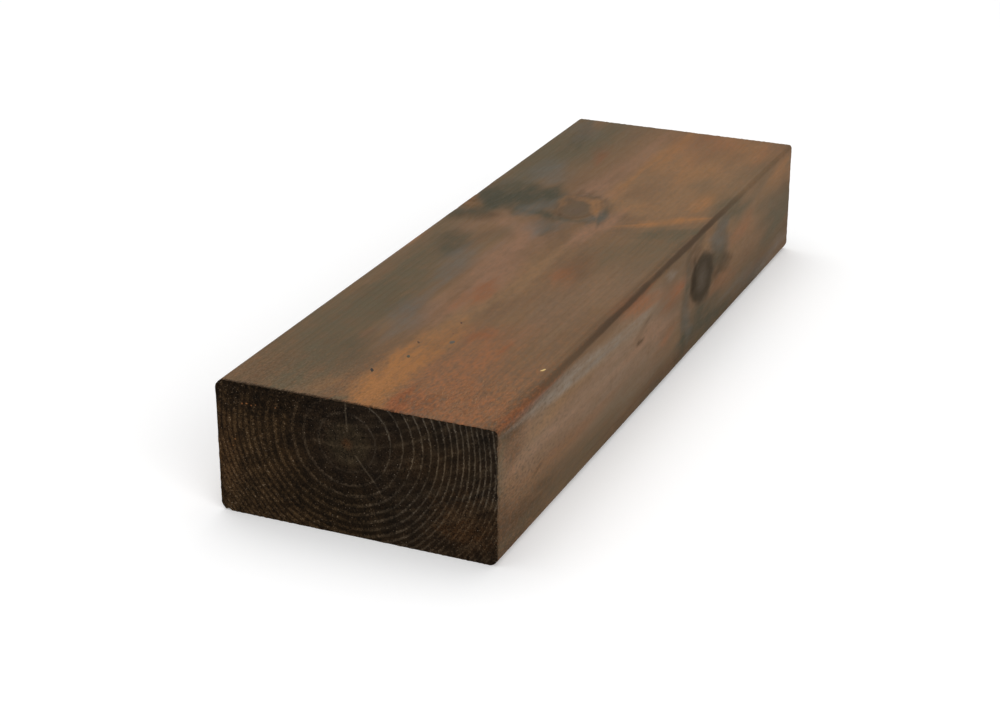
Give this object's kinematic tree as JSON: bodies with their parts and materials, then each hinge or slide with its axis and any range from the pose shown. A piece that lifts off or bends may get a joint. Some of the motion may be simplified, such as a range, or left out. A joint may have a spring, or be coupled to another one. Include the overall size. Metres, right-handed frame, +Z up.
{
  "type": "construction lumber",
  "caption": "Short length of planed rectangular softwood with rounded long arrises, square sawn ends and a small splinter scar on one lower arris.",
  "frame": {"origin": "centre of the underside, midway between the sawn ends", "axes": "+X across the wide face, +Y along the grain from the near end to the far end, +Z up through the thickness"},
  "size_m": [0.095, 0.3, 0.045],
  "materials": {
    "treated_softwood": "planed and brown pressure treated, matt, with rough sawn ends"
  },
  "bodies": {
    "root": {"timber": "treated_softwood"}
  },
  "joints": []
}
